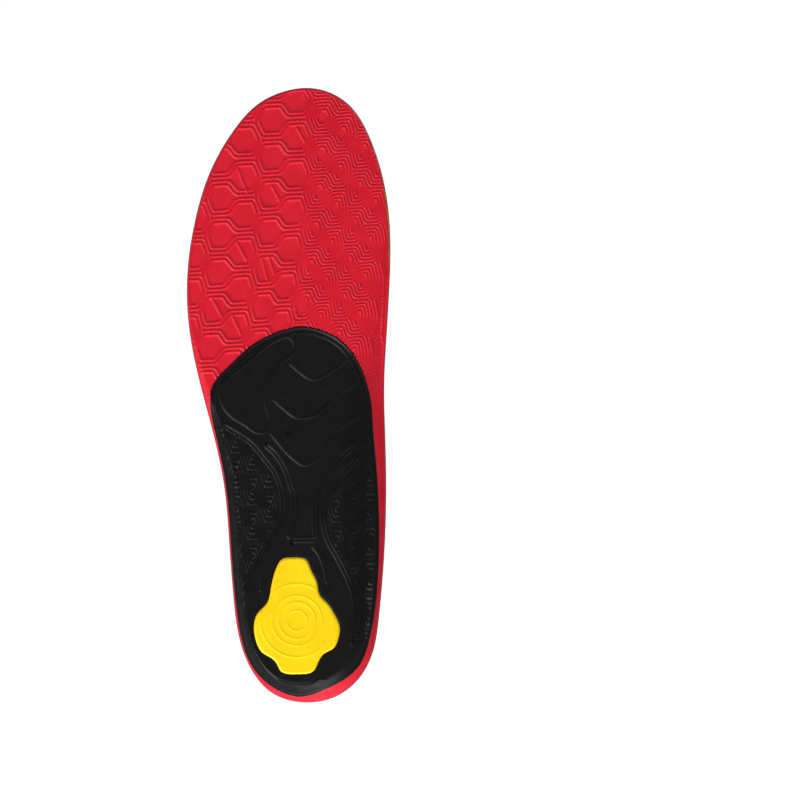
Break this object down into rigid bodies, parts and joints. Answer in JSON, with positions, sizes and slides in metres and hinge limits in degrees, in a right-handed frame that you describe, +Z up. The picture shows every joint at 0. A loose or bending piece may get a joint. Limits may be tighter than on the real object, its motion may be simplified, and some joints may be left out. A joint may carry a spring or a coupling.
{
  "type": "cushioned insole",
  "caption": "Full-length cushioned insole for a right foot: red foam base, black arch and heel support shell, yellow heel pad, textile top cover, flexing forefoot.",
  "frame": {"origin": "On the surface the insole lies on, under the middle of its outline.", "axes": "+Z up to the foot, +Y along the length to the toe, +X to the outer (lateral) side of a right foot, -X to the arch."},
  "size_m": [0.0917, 0.277, 0.0239],
  "materials": {
    "shell": "satin",
    "pad": "satin gel",
    "foam": "matte moulded foam",
    "cushion": "matte foam",
    "cover": "knit"
  },
  "bodies": {
    "rearfoot": {"support_shell": "shell", "heel_pad": "pad", "foam_base_rear": "foam", "cushion_layer_rear": "cushion", "top_cover_rear": "cover"},
    "forefoot": {"foam_base_front": "foam", "cushion_layer_front": "cushion", "top_cover_front": "cover"}
  },
  "joints": [
    {"name": "forefoot_flex", "type": "hinge", "parent": "rearfoot", "child": "forefoot", "pos_m": [0, 0.049, 0.0062], "axis": [0.9613, -0.2756, 0], "range_deg": [0, 50], "stiffness_Nm_per_rad": 0.05}
  ]
}
